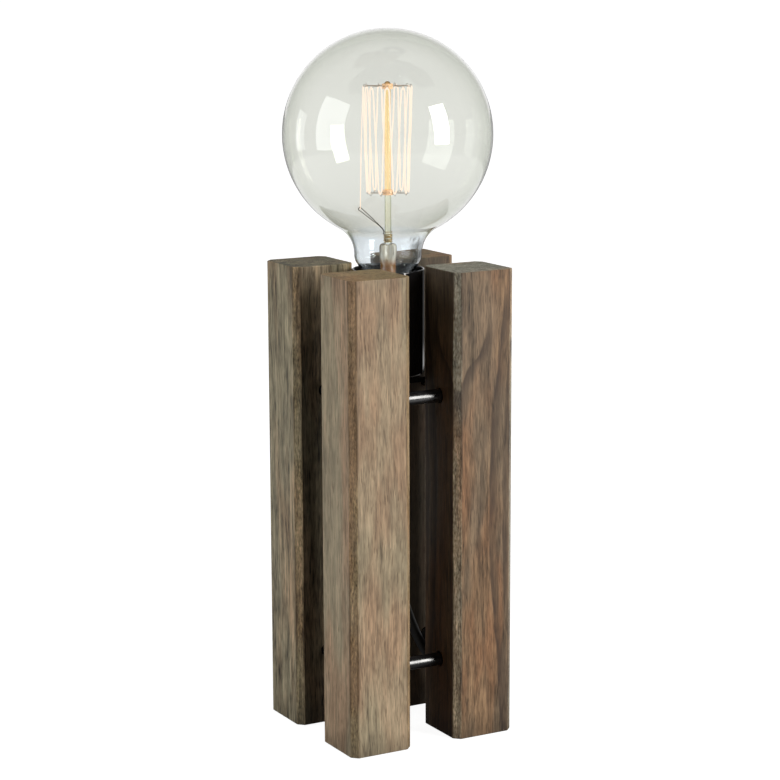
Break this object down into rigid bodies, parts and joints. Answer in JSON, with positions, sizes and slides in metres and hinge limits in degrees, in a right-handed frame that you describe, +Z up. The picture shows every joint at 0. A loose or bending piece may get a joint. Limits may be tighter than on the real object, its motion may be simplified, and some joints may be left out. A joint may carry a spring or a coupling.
{
  "type": "bare bulb table lamp",
  "caption": "Table lamp of square wooden posts tied by black steel rods, with a black lampholder cup and a clear globe filament bulb between them, and a mains lead.",
  "frame": {"origin": "on the floor, under the axis of the bulb, at the middle of the four posts", "axes": "+Z up along the bulb's axis, +X from the front post to the right post, +Y from the front post to the left post"},
  "size_m": [0.1665, 0.2507, 0.4238],
  "materials": {
    "wood": "stained hardwood, satin oil",
    "black_metal": "satin black lacquer",
    "steel": "zinc plated",
    "brass": "bright",
    "copper": "copper, slightly tarnished",
    "cap_metal": "bright",
    "support_wire": "drawn wire",
    "plug_pin": "nickel plated",
    "black_plastic": "fine satin",
    "rubber": "smooth flexible sheath",
    "strap": "woven strap",
    "ceramic": "unglazed",
    "black_glass": "glossy",
    "glass": "clear, faint warm grey-green tint",
    "filament": "carbon wire, faintly glowing"
  },
  "bodies": {
    "root": {"post_front": "wood", "post_right": "wood", "post_left": "wood", "post_back": "wood", "upper_rod_front_right": "black_metal", "upper_rod_left_back": "black_metal", "upper_rod_front_left": "black_metal", "upper_rod_right_back": "black_metal", "lower_rod_front_right": "black_metal", "lower_rod_left_back": "black_metal", "lower_rod_front_left": "black_metal", "lower_rod_right_back": "black_metal", "mounting_strip": "black_metal", "strip_screws": "steel", "threaded_tube": "steel", "strip_nut": "steel", "cup_spacer": "black_metal", "cup_nut": "steel", "cord_grip": "black_plastic", "holder_cup": "black_metal", "holder_base": "black_plastic", "holder_insert": "ceramic", "screw_shell": "brass", "holder_sleeve": "black_plastic", "centre_contact": "brass", "terminal_screws": "brass", "holder_leads": "rubber", "cord_lead": "rubber", "cord_run": "rubber", "cord_coil": "rubber", "cord_tail": "rubber", "coil_strap": "strap", "switch_base": "black_plastic", "switch_cover": "black_plastic", "rocker_pin": "steel", "switch_contacts": "brass", "switch_leads": "rubber", "switch_screws": "steel", "plug_body": "black_plastic", "plug_pins": "plug_pin"},
    "bulb_carrier": {"cap_tip": "cap_metal", "cap_insulator": "black_glass"},
    "bulb": {"screw_cap": "cap_metal", "bulb_glass": "glass", "bulb_stem": "glass", "exhaust_tube": "glass", "glass_rod": "glass", "top_hub": "copper", "bottom_hub": "copper", "top_hooks": "support_wire", "bottom_hooks": "support_wire", "filament": "filament", "lead_wires": "support_wire", "lead_crimp": "copper"},
    "rocker": {"switch_rocker": "black_plastic"}
  },
  "joints": [
    {"name": "bulb_lift", "type": "slide", "parent": "root", "child": "bulb_carrier", "axis": [0, 0, 1], "range_m": [0, 0.0109]},
    {"name": "bulb_turn", "type": "hinge", "parent": "bulb_carrier", "child": "bulb", "pos_m": [0, 0, 0.26], "axis": [0, 0, 1], "range_deg": [0, 1080]},
    {"name": "switch_rock", "type": "hinge", "parent": "root", "child": "rocker", "pos_m": [0.092, 0.07, 0.013], "axis": [-1, 0, 0], "range_deg": [0, 14]}
  ],
  "couplings": [
    {"joint": "bulb_lift", "follows": "bulb_turn", "m_per_rad": 0.00057757}
  ]
}
